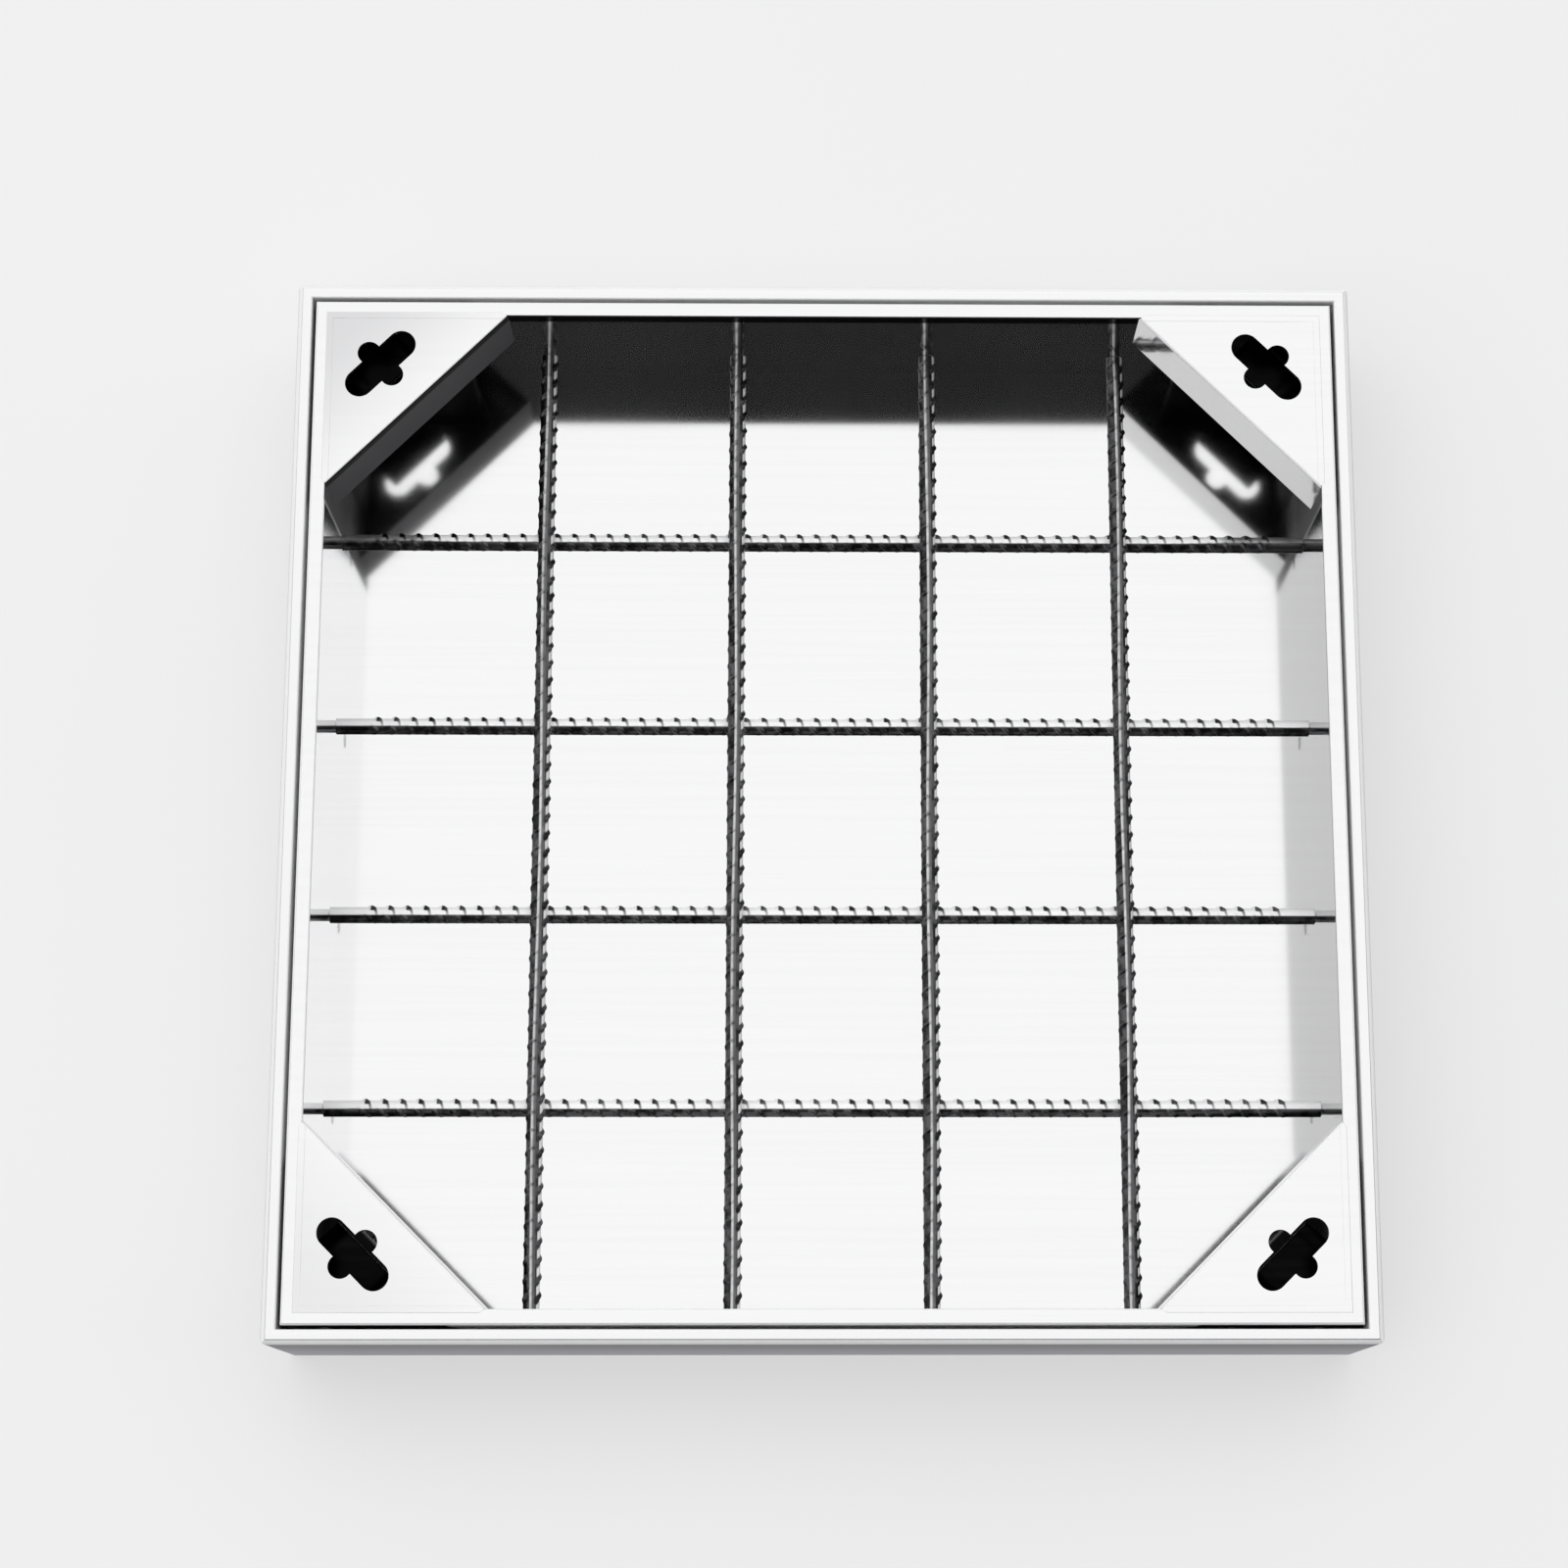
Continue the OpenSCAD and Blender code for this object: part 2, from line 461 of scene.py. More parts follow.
@dataclass(frozen=True)
class PlateSteel(SheetFinish):
    """Corner plate sheet: satin folds, painted shade on back undersides, and a dull back left lip with
    painted shade.
    """

    # Painted shade of the undersides at the back; the front ones keep the sheet's tone
    under_shade_tone: Colour = (0.07, 0.07, 0.075)
    near_under_tone: Colour = (0.90, 0.90, 0.905)
    # Painted shade towards the left plates' outer corners
    corner_shade_tone: Colour = (0.70, 0.70, 0.71)
    # Painted shade of the back left lip, and of the line at its head
    lip_shade_tone: Colour = (0.14, 0.14, 0.148)
    shade_line_tone: Colour = (0.008, 0.008, 0.008)
    corner: Span = (445 * MM, 556 * MM)
    line: Span = (93 * MM, 95 * MM)
    level: Span = (0.9, 0.99)
    faces_right: Span = (0.3, 0.5)
    fold_start: Span = (0.1, 0.3)
    near_share: float = 0.5
    fold_share: float = 0.8
    dulling: float = 0.5

    def shade(self, look: Look) -> None:
        """Paints shade on the left plates' outer corners, the undersides at the back and one lip, and dulls
        the folds.

        The painted shade of the corners is lighter at the front. The lip is the back left one, with a
        painted shade line at its head, and it is as dull as the folds.

        Args:
            look: the look so far, changed in place.
        """
        graph = look.graph
        across, along, height = look.spot
        left = graph.fall(across, MIDDLE)
        # Painted shade towards the left plates' outer corners, lighter at the front
        corner = graph.both(left, graph.ramp(look.slant(), self.corner),
                            graph.ramp(look.facing[2], self.level),
                            graph.ramp(along, MIDDLE, self.near_share, 1.0))
        look.paint(corner, self.corner_shade_tone)
        # Painted shade on the undersides at the back
        below = graph.blend(graph.fall(along, MIDDLE), self.under_shade_tone, self.near_under_tone)
        look.paint(graph.fall(look.facing[2], UNDERSIDE), below)
        # Painted shade on the back left lip, darker still in a line at its head
        lip = graph.both(left, graph.ramp(look.facing[0], self.faces_right),
                         graph.fall(look.facing[1], FACES_FRONT))
        look.paint(lip, self.lip_shade_tone)
        look.paint(graph.both(lip, graph.ramp(height, self.line)), self.shade_line_tone)
        fold = graph.both(graph.ramp(look.flat(), self.fold_start), graph.fall(look.flat(), FLAT))
        look.dull(graph.larger(lip, graph.math("MULTIPLY", fold, self.fold_share)), self.dulling, 0.0)


@dataclass(frozen=True)
class TraySteel(SheetFinish):
    """Tray sheet: mirror-bright floor and walls, with painted shade under and beside the plates and on the
    right and back walls.
    """

    # Painted shade of the right wall
    right_shade_tone: Colour = (0.35, 0.35, 0.357)
    # Painted shade line at the head of the back wall
    shade_line_tone: Colour = (0.02, 0.02, 0.02)
    # Painted shade of the side walls beside the back plates
    beside_shade_tone: Colour = (0.12, 0.12, 0.123)
    shade_tone: Colour = (0.03, 0.03, 0.031)
    shade_roughness: float = 0.6
    satin: float = 0.5
    satin_metal: float = 0.2
    floor: Span = (10.5 * MM, 11.5 * MM)
    wall_head: Span = (95.5 * MM, 96.5 * MM)
    line: Span = (91.0 * MM, 92.5 * MM)
    at_wall: Span = (WALL - 2 * MM, WALL - MM)
    under_plate: Span = (488.5 * MM, 492.5 * MM)
    beside_plate: Span = (168 * MM, 173 * MM)
    brow: Span = (90 * MM, 91 * MM)
    brow_reach: Span = (284 * MM, 285 * MM)
    brim: Span = (97 * MM, 98 * MM)
    hem: Span = (287.8 * MM, 288.4 * MM)
    back_hem: Span = (286 * MM, 287 * MM)
    faces_left: Span = (-0.9, -0.6)
    turned: Span = (0.05, 0.12)
    upright: Span = (0.5, 0.7)
    leaning: Span = (0.05, 0.2)

    def walls(self, look: Look) -> None:
        """Paints shade on the right wall and, as a line, at the head of the back wall.

        Args:
            look: the look so far, changed in place.
        """
        graph = look.graph
        across, along, height = look.spot
        # Painted shade on the right wall
        right = graph.both(graph.fall(look.facing[0], self.faces_left), graph.ramp(across, self.at_wall))
        look.paint(right, self.right_shade_tone)
        # Painted shade line at the head of the back wall
        head = graph.both(graph.ramp(height, self.line), graph.ramp(along, self.at_wall),
                          graph.fall(look.facing[1], FACES_FRONT))
        look.paint(head, self.shade_line_tone)

    def shaded(self, look: Look) -> None:
        """Paints shade on, and roughens, the side walls beside the back plates and what lies under each
        plate.

        The walls' painted shade runs from the floor's fold up to the fold of the top edge.

        Args:
            look: the look so far, changed in place.
        """
        graph = look.graph
        across, along, height = look.spot
        inside = graph.both(graph.ramp(height, self.floor), graph.fall(height, self.wall_head))
        sideways = graph.size(look.facing[0])
        lower = graph.both(inside, graph.ramp(sideways, self.turned))
        upper = graph.both(graph.ramp(height, self.brow), graph.ramp(sideways, self.upright),
                           graph.fall(look.reach(), self.brow_reach))
        # Painted shade on the side walls beside the back plates
        beside = graph.both(graph.larger(lower, upper), graph.ramp(along, self.beside_plate))
        look.paint(beside, self.beside_shade_tone)
        # Painted shade under each plate
        covered = graph.both(inside, graph.ramp(look.slant(), self.under_plate))
        look.paint(covered, self.shade_tone)
        rough = graph.math("SUBTRACT", self.shade_roughness, look.roughness)
        look.roughness = graph.math("MULTIPLY_ADD", graph.larger(covered, beside), rough, look.roughness)

    def shade(self, look: Look) -> None:
        """Paints shade on parts of the tray, and dulls its folds.

        The folds are the hem's beside the frame, but for the back one, and the inside of the top edge.

        Args:
            look: the look so far, changed in place.
        """
        self.walls(look)
        self.shaded(look)
        graph = look.graph
        folded = graph.fall(look.flat(), FLAT)
        hem = graph.both(graph.ramp(look.reach(), self.hem), folded, graph.fall(look.spot[1], self.back_hem))
        brim = graph.both(graph.ramp(look.spot[2], self.brim), folded, graph.ramp(look.flat(), self.leaning))
        look.dull(graph.larger(hem, brim), self.satin - self.roughness, self.satin_metal)


@dataclass(frozen=True)
class RestSteel(SheetFinish):
    """Key rest sheet, painted nearly black as shade in the closed space below a corner plate."""

    # Painted shade: tones nearly black
    tone: Colour = (0.004, 0.004, 0.004)
    streak_tone: Colour = (0.006, 0.006, 0.006)
    roughness: float = 0.3


@dataclass(frozen=True)
class BarFinish:
    """Ribbed bar: scale and painted shade on one side, painted light on the other, painted shade on the
    ribs.

    A ray that bright sheet sends on passes through all but the tops of the bars, so the tray's
    floor and walls show no image of them.
    """

    name: str = "ribbed_bar_steel"
    # Painted light of the lit side, then the tones of scale and painted shade on the other side
    lit_tone: Colour = (0.96, 0.96, 0.965)
    scale_and_shade_tone: Colour = (0.04, 0.04, 0.042)
    worn_and_shade_tone: Colour = (0.15, 0.15, 0.155)
    lit_roughness: float = 0.38
    lit_metal: float = 0.1
    scale_roughness: float = 0.36
    bump: float = 0.08
    bump_depth: float = 0.04 * MM
    passing: float = 0.8

    def build(self, surface: bpy.types.NodeTree) -> bpy.types.Material:
        """Makes the material.

        Args:
            surface: the ribbed bar surface group.

        Returns:
            The material, which reads the bars' painted light and rib shade attributes.
        """
        material, graph, shader = new_material(self.name)
        lit, rib = (graph.node("Attribute", attribute_name=name).outputs["Fac"] for name in ("lit", "rib"))
        skin = graph.group(surface, Vector=graph.place(), Bare=lit, Rib=rib)
        bright = skin.outputs["Bright"]
        # Scale patches and painted shade on the dark side, painted light where the bar is lit
        scale_and_shade = graph.blend(skin.outputs["Scale"], self.worn_and_shade_tone, self.scale_and_shade_tone)
        mirrored = graph.node("LightPath").outputs["Is Glossy Ray"]
        passed = graph.both(graph.math("LESS_THAN", graph.normal()[2], self.passing), mirrored)
        graph.fill(shader, {
            "Base Color": graph.blend(bright, scale_and_shade, self.lit_tone),
            "Roughness": graph.ramp(bright, (0.0, 1.0), self.scale_roughness, self.lit_roughness),
            "Metallic": graph.math("MULTIPLY_ADD", bright, self.lit_metal - 1.0, 1.0),
            "Normal": graph.bump(skin.outputs["Height"], self.bump, self.bump_depth),
            "Alpha": graph.math("SUBTRACT", 1.0, passed)})
        return material


@dataclass(frozen=True)
class RubberFinish:
    """Matt black seal rubber with a faint bloom."""

    name: str = "seal_rubber"
    tone: Colour = (0.022, 0.022, 0.023)
    bloom: Colour = (0.045, 0.045, 0.048)
    roughness: Span = (0.58, 0.72)
    bump: float = 0.3
    bump_depth: float = 0.05 * MM

    def build(self) -> bpy.types.Material:
        """Makes the material.

        Returns:
            The material.
        """
        material, graph, shader = new_material(self.name)
        place = graph.place()
        cloud = graph.noise(place, 45.0, detail=4.0)
        grit = graph.noise(place, 2200.0)
        graph.fill(shader, {
            "Base Color": graph.blend(graph.ramp(cloud, (0.45, 0.7)), self.tone, self.bloom),
            "Roughness": graph.ramp(cloud, (0.3, 0.7), *self.roughness),
            "Normal": graph.bump(grit, self.bump, self.bump_depth)})
        return material


# Meshes


def hump(distance: np.ndarray, half: float) -> np.ndarray:
    """Squared cosine of the distance: 1 on the middle line, and 0 from the half width on."""
    return np.cos(np.clip(distance / half, 0, 1) * np.pi / 2) ** 2


def grid_mesh(name: str, points: np.ndarray, closed_across: bool) -> bpy.types.Mesh:
    """Mesh of a surface given as a grid of points, with flat fans on its two ends if it is a tube.

    A face joins each point (i, j) to its neighbours (i + 1, j), (i + 1, j + 1) and (i, j + 1).

    Args:
        name: name of the mesh.
        points: array of rows by columns by 3.
        closed_across: whether the last column joins the first.

    Returns:
        The mesh.
    """
    rows, columns = points.shape[:2]
    index = np.arange(rows * columns).reshape(rows, columns)
    across = np.roll(index, -1, axis=1) if closed_across else index[:, 1:]
    here = index if closed_across else index[:, :-1]
    quads = np.stack([here[:-1], across[:-1], across[1:], here[1:]], axis=-1).reshape(-1, 4)
    vertices = points.reshape(-1, 3)
    faces = [quads]
    if closed_across:
        centres = points[[0, -1]].mean(axis=1)
        vertices = np.concatenate([vertices, centres])
        first, last = rows * columns, rows * columns + 1
        faces.append(np.stack([np.full(columns, first), across[0], index[0]], axis=-1))
        faces.append(np.stack([np.full(columns, last), index[-1], across[-1]], axis=-1))
    corners = np.concatenate([face.reshape(-1) for face in faces])
    sizes = np.concatenate([np.full(len(face), face.shape[1]) for face in faces])
    mesh = bpy.data.meshes.new(name)
    mesh.vertices.add(len(vertices))
    mesh.vertices.foreach_set("co", vertices.astype(np.float32).reshape(-1))
    mesh.loops.add(len(corners))
    mesh.loops.foreach_set("vertex_index", corners.astype(np.int32))
    mesh.polygons.add(len(sizes))
    mesh.polygons.foreach_set("loop_start", (np.cumsum(sizes) - sizes).astype(np.int32))
    mesh.update(calc_edges=True)
    mesh.validate()
    return mesh


def place_piece(name: str, mesh: bpy.types.Mesh, material: bpy.types.Material) -> bpy.types.Object:
    """Puts a mesh in the scene as an object at the origin.

    Args:
        name: name of the piece.
        mesh: its mesh, in place.
        material: its finish.

    Returns:
        The object.
    """
    mesh.materials.append(material)
    piece = bpy.data.objects.new(name, mesh)
    bpy.context.scene.collection.objects.link(piece)
    LOG.info("%s: %s, %d points", name, material.name, len(mesh.vertices))
    return piece


# Sub-assemblies


@dataclass
class RibbedBars:
    """Grid of ribbed bars: four lengthwise ones lying on four crosswise ones.

    Angles round a bar are in degrees, 0 at its far or right side and 90 on top.
    """

    finish: bpy.types.Material
    count: int = 4
    radius: float = 4.6 * MM
    pitch: float = 111 * MM
    length: float = 562 * MM
    long_shift: float = 5 * MM
    cross_shift: float = 2.5 * MM
    cross_height: float = 28.1 * MM
    long_height: float = 37.3 * MM
    long_plain: float = 6 * MM
    cross_plain: float = 17 * MM
    # Ribs
    rib_height: float = 1.1 * MM
    rib_foot: float = 1.6 * MM
    rib_slant: float = 35.0
    rib_reach: float = 52.0
    rib_turn: float = 12.0
    rib_rows: int = 3
    ribs_per_cell: int = 11
    # Painted shade marks on the ribs
    dot_half: float = 3.0 * MM
    dot_turn: float = 22.0
    dot_edge: Span = (46.0, 56.0)
    stroke_half: float = 1.9 * MM
    stroke_turn: tuple[float, ...] = (20.0, 34.0, 60.0, 100.0)
    stroke_share: tuple[float, ...] = (0.0, 0.7, 0.58, 0.42)
    blob_half: float = 4.0 * MM
    blob_edge: Span = (44.0, 62.0)
    rung_edge: Span = (30.0, 45.0)
    rung_share: float = 0.5
    # Painted light on the lit side of the bars
    lit_foot: Span = (-75.0, -60.0)
    cross_edge: Span = (86.0, 108.0)
    long_edge: Span = (42.0, 56.0)
    line_turn: tuple[float, ...] = (56.0, 66.0, 84.0, 93.0, 104.0, 112.0)
    line_share: tuple[float, ...] = (0.0, 0.34, 0.34, 0.54, 0.54, 0.0)
    wander: float = 9.0
    wander_length: float = 310 * MM
    wander_start: float = 70 * MM
    # Painted shade at the last crosswise bar's ends, below the back plates
    end_shade_span: Span = (205 * MM, 240 * MM)
    end_shade_share: float = 0.46
    # Fineness of the meshes
    along_step: float = 0.6 * MM
    around: int = 56

    def station(self, number: int) -> float:
        """Place of a bar along its row, with the middle of the row at zero."""
        return (number - (self.count + 1) / 2) * self.pitch

    def mark(self, run: Run, row: int, turn: np.ndarray, away: np.ndarray, aside: np.ndarray) -> np.ndarray:
        """Painted shade that a row of ribs adds to the bar, 1 where it is darkest.

        Each kind of mark is a hump over the distance from its middle line, times a factor that
        depends on the angle. A crosswise bar has a dot where a rib of its far row passes the far edge,
        and a fainter stroke that runs on along the rib's line. A lengthwise bar has a blob on each rib
        of its right row, and faint rungs on the others.

        Args:
            run: direction of the bar.
            row: number of the row of ribs.
            turn: angle from the middle of the row, in degrees.
            away: distance from the line of the nearest rib.
            aside: distance along the bar from the nearest dot.

        Returns:
            The darkness.
        """
        off = np.abs(turn)
        if run is Run.CROSSWISE:
            dot = hump(aside, self.dot_half) * np.interp(off, self.dot_edge, (1, 0))
            stroke = hump(away, self.stroke_half) * np.interp(turn, self.stroke_turn, self.stroke_share)
            return np.maximum(dot, stroke) * (row == 0)
        if row == 0:
            return hump(away, self.blob_half) * np.interp(off, self.blob_edge, (1, 0))
        return self.rung_share * hump(away, self.rib_foot) * np.interp(off, self.rung_edge, (1, 0))

    def surface(self, run: Run, crossing: float, plain: float) -> tuple[np.ndarray, np.ndarray, np.ndarray]:
        """Surface of a bar along X, as a function of the distance along it and the angle round it.

        The radius is the bar's own radius plus a rib height. A row of ribs stands out as a smaller,
        off-centre circle does beyond the bar's circle, so each rib is a crescent. Along the bar that
        height is cut to slanted humps, one every rib pitch counted from a crossing.

        Args:
            run: direction of the bar.
            crossing: place along X of the first crossing bar.
            plain: length without ribs at each end.

        Returns:
            Points as an array of rows along by columns around by 3, the angle of each column, and each
            point's rib mark.
        """
        half = self.length / 2
        rows = int(round(self.length / self.along_step)) + 1
        along = np.linspace(-half, half, rows)[:, None]
        angle = np.linspace(0, 2 * np.pi, self.around, endpoint=False)[None, :]
        tall = self.radius + self.rib_height
        reach = math.radians(self.rib_reach)
        offset = (tall**2 - self.radius**2) / (2 * (tall - self.radius * math.cos(reach)))
        lobe = tall - offset
        rib_pitch = self.pitch / self.ribs_per_cell
        first = math.ceil((plain - half - crossing) / rib_pitch - 0.5)
        last = math.floor((half - plain - crossing) / rib_pitch - 0.5)
        rise = math.tan(math.radians(self.rib_slant))
        dot_lean = self.radius * math.sin(math.radians(self.dot_turn)) * rise
        dots = (along - dot_lean - crossing) / rib_pitch - 0.5
        aside = np.abs(dots - np.clip(np.round(dots), first, last)) * rib_pitch + 0 * angle
        height = np.zeros((rows, self.around))
        mark = np.zeros((rows, self.around))
        for row in range(self.rib_rows):
            middle = math.radians(self.rib_turn) + row * 2 * np.pi / self.rib_rows
            turn = (angle - middle + np.pi) % (2 * np.pi) - np.pi
            inside = np.clip(lobe**2 - (offset * np.sin(turn)) ** 2, 0, None)
            crescent = np.clip(offset * np.cos(turn) + np.sqrt(inside) - self.radius, 0, None)
            crescent = np.where(np.abs(turn) < np.pi / 2, crescent, 0)
            lean = (self.radius + crescent) * np.sin(turn) * rise
            count = (along - lean - crossing) / rib_pitch - 0.5
            nearest = np.clip(np.round(count), first, last)
            away = np.abs(count - nearest) * rib_pitch * math.cos(math.radians(self.rib_slant))
            height = np.maximum(height, crescent * hump(away, self.rib_foot))
            # Painted shade marks on the ribs
            mark = np.maximum(mark, self.mark(run, row, np.degrees(turn) + 0 * along, away, aside))
        radius = self.radius + height
        points = np.stack([along + 0 * angle, radius * np.cos(angle), radius * np.sin(angle)], axis=-1)
        return points, np.degrees(angle), mark

    def lit(self, run: Run, angle: np.ndarray, along: np.ndarray) -> np.ndarray:
        """Share of painted light round a bar, 0 on the side of scale and painted shade.

        A crosswise bar is lit on its far upper side. A lengthwise one is lit on its right side and
        along a half lit line, a painted highlight, left of its top, which wanders with a slow sine along the
        bar.

        Args:
            run: direction of the bar.
            angle: angle of each column.
            along: place of each row along the bar.

        Returns:
            The share, as rows by columns.
        """
        turn = (angle + 90) % 360 - 90 + 0 * along
        edge = self.cross_edge if run is Run.CROSSWISE else self.long_edge
        # Painted light on the lit side of the bar
        side = np.interp(turn, self.lit_foot + edge, (0, 1, 1, 0))
        if run is Run.CROSSWISE:
            return side
        wander = self.wander * np.sin(2 * np.pi * along / self.wander_length)
        return np.maximum(side, np.interp(turn + wander, self.line_turn, self.line_share))

    def build_bar(self, run: Run, number: int) -> None:
        """Builds one bar in its place and lets it stand for its solid.

        The last crosswise bar has less painted light at its ends, as painted shade below the back plates.

        Args:
            run: direction of the bar.
            number: its number in the row, from 1.
        """
        if run is Run.CROSSWISE:
            points, angle, mark = self.surface(run, self.station(1) + self.long_shift, self.cross_plain)
            along = points[:, :1, 0]
            lit = self.lit(run, angle, along)
            # Painted shade at the last crosswise bar's ends, below the back plates
            if number == self.count:
                lit = lit * np.interp(np.abs(along), self.end_shade_span, (1, self.end_shade_share))
            points = points + np.array([0, self.station(number) + self.cross_shift, self.cross_height])
        else:
            points, angle, mark = self.surface(run, self.station(1) - self.cross_shift, self.long_plain)
            lit = self.lit(run, angle, points[:, :1, 0] + number * self.wander_start)
            points = np.stack([points[..., 1], -points[..., 0], points[..., 2]], axis=-1)
            points = points + np.array([self.station(number) + self.long_shift, 0, self.long_height])
        node = f"{run.value}_bar_{number}"
        mesh = grid_mesh(f"ribbed_{node}", points, closed_across=True)
        for name, values in (("lit", lit), ("rib", mark)):
            layer = mesh.attributes.new(name, "FLOAT", "POINT")
            layer.data.foreach_set("value", np.append(values.reshape(-1), [0, 0]).astype(np.float32))
        smooth = np.ones(len(mesh.polygons), bool)
        smooth[-2 * self.around:] = False
        mesh.polygons.foreach_set("use_smooth", smooth)
        piece = place_piece(f"ribbed_{node}", mesh, self.finish)
        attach(piece, "root")
        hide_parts(node)

    def build(self) -> None:
        """Builds all bars of both layers."""
        for run in Run:
            for number in range(1, self.count + 1):
                self.build_bar(run, number)


@dataclass
class CornerPiece:
    """Piece that each corner has one of, worked out for the back right corner."""

    corner: str
    finish: bpy.types.Material

    def signs(self) -> np.ndarray:
        """Signs of X and Y at the corner."""
        return np.array([1 if "right" in self.corner else -1, 1 if "back" in self.corner else -1])

    def place(self, kind: str, points: np.ndarray) -> None:
        """Puts the piece at its corner, with its faces turned outwards.

        Args:
            kind: name of the piece, without its corner.
            points: its surface, closed across, turned outwards where X and Y differ in sign.
        """
        if self.signs().prod() > 0:
            points = points[:, ::-1]
        mesh = grid_mesh(f"{kind}_{self.corner}", points, closed_across=True)
        piece = place_piece(f"{kind}_{self.corner}", mesh, self.finish)
        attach(piece, "root")


@dataclass
class WeldSeam(CornerPiece):
    """Weld ground flush, between a corner plate's two straight edges and the tray's top edge."""

    leg: float = 100 * MM
    taper: float = 3 * MM
    crown: float = 0.006 * MM
    inner: float = 1.6 * MM
    outer: float = 2.2 * MM
    depth: float = 0.7 * MM
    tip: float = 0.05
    columns: int = 12
    steps: int = 5

    def section(self) -> np.ndarray:
        """Closed outline across the seam: flat on top, and a shallow bowl below.

        Both follow a half turn: the distance out is a cosine between the two edges. The height is the
        crown above, and below it falls from there as a sine times the depth.

        Returns:
            Columns by 2: distance out from the wall, and height from the top edge.
        """
        turn = np.linspace(0, 2 * np.pi, self.columns, endpoint=False)
        out = (self.outer - self.inner) / 2 + (self.outer + self.inner) / 2 * np.cos(turn)
        rise = self.crown + np.minimum(np.sin(turn), 0) * self.depth
        return np.stack([out, rise], axis=-1)

    def build(self) -> None:
        """Carries the outline along one leg, round the mitred corner and along the other leg.

        On a leg only the coordinate across it takes the outline's distance out, and at the corner both
        do. The outline shrinks almost to a point at both ends, as a sine over the taper.
        """
        taper = np.linspace(0, self.taper, self.steps)
        walked = np.concatenate([taper, np.linspace(self.taper, self.leg, self.steps)[1:]])
        size = np.sin(np.clip(walked / self.taper, self.tip, 1) * np.pi / 2)[:, None]
        out, rise = self.section().T
        line = (WALL - self.leg + walked)[:, None] + 0 * out
        first = np.stack([line, WALL + out * size, TOP + rise * size], axis=-1)
        first[-1, :, 0] = WALL + out
        second = first[-2::-1, :, [1, 0, 2]]
        self.place("weld", np.concatenate([first, second]) * np.append(self.signs(), 1))


@dataclass
class KeyRest(CornerPiece):
    """Folded strip under a keyhole: a flange below the plate, a web and a shelf under the hole."""

    key_at: float = 252 * MM
    flange_at: float = 96.05 * MM
    start: float = 26 * MM
    length: float = 46 * MM
    half: float = 21 * MM
    thick: float = 2 * MM
    bend: float = 2 * MM
    folds: Span = (6 * MM, 21 * MM)
    columns: int = 60
    rows: int = 5

    def section(self) -> np.ndarray:
        """Closed outline of the folded strip.

        Its middle line is walked at a heading that turns a quarter down at the first fold and back at
        the second. The outline is that line moved half a thickness to each side.

        Returns:
            Columns by 2: distance outwards from the keyhole's middle, and height.
        """
        walked = np.linspace(0, self.length, self.columns)
        arc = self.bend * np.pi / 2
        down, back = (np.clip((walked - fold) / arc, 0, 1) for fold in self.folds)
        heading = np.pi + (down - back) * np.pi / 2
        way = np.stack([np.cos(heading), np.sin(heading)], axis=-1)
        step = np.diff(walked)[:, None] * (way[1:] + way[:-1]) / 2
        middle = np.array([self.start, self.flange_at]) + np.concatenate([[[0, 0]], np.cumsum(step, axis=0)])
        side = way[:, ::-1] * np.array([-1, 1]) * self.thick / 2
        return np.concatenate([middle - side, (middle + side)[::-1]])

    def build(self) -> None:
        """Carries the outline along the keyhole's long slot.

        The distance outwards is shared by X and Y alike, and the distance along adds to X what it
        takes from Y.
        """
        out, height = self.section().T
        along = np.linspace(-self.half, self.half, self.rows)[:, None]
        x, y = ((self.key_at + (out + side * along) / math.sqrt(2)) * sign
                for side, sign in zip((1, -1), self.signs()))
        self.place("key_rest", np.stack([x, y, height + 0 * along], axis=-1))


@dataclass
class SheetWork:
    """Frame, tray, corner plates and seal, which keep their solids and get their finishes."""

    brushed: bpy.types.NodeTree

    def dress(self, node: str, material: bpy.types.Material) -> None:
        """Gives a solid its finish.

        Args:
            node: name of the solid.
            material: its finish.
        """
        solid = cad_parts[node]
        if not solid.material_slots:
            solid.data.materials.append(material)
        for place in solid.material_slots:
            place.material = material
        LOG.info("%s: %s", node, material.name)

    def build(self) -> None:
        """Gives each solid its finish, and adds what is fixed to the corner plates."""
        rails = {grain: FrameSteel(f"frame_steel_{grain.value}", grain).build(self.brushed)
                 for grain in Grain}
        rubber = RubberFinish().build()
        for side in SIDES:
            grain = Grain.ALONG_X if side in ("front", "back") else Grain.ALONG_Y
            self.dress(f"frame_rail_{side}", rails[grain])
            self.dress(f"seal_strip_{side}", rubber)
        self.dress("tray_pan", TraySteel("tray_steel", Grain.ALONG_X).build(self.brushed))
        plate = PlateSteel("plate_steel", Grain.ALONG_X).build(self.brushed)
        rest = RestSteel("key_rest_steel", Grain.ALONG_X).build(self.brushed)
        for corner in CORNERS:
            self.dress(f"corner_plate_{corner}", plate)
            WeldSeam(corner, plate).build()
            KeyRest(corner, rest).build()


@dataclass(frozen=True)
class Softbox:
    """Window of light in the sky, with soft edges.

    Each direction is read as its slopes, u = x / z and v = y / z. A window has a span in which its
    light rises and a span in which it falls, for u and for v.
    """

    across: tuple[Span, Span]
    along: tuple[Span, Span]
    strength: float

    def mask(self, graph: Graph, u: Socket, v: Socket) -> Socket:
        """Mask of the window.

        Args:
            graph: graph of the world.
            u: slope across.
            v: slope along.

        Returns:
            The mask.
        """
        sides = [graph.both(graph.ramp(slope, rise), graph.fall(slope, fall))
                 for slope, (rise, fall) in ((u, self.across), (v, self.along))]
        return graph.both(*sides)


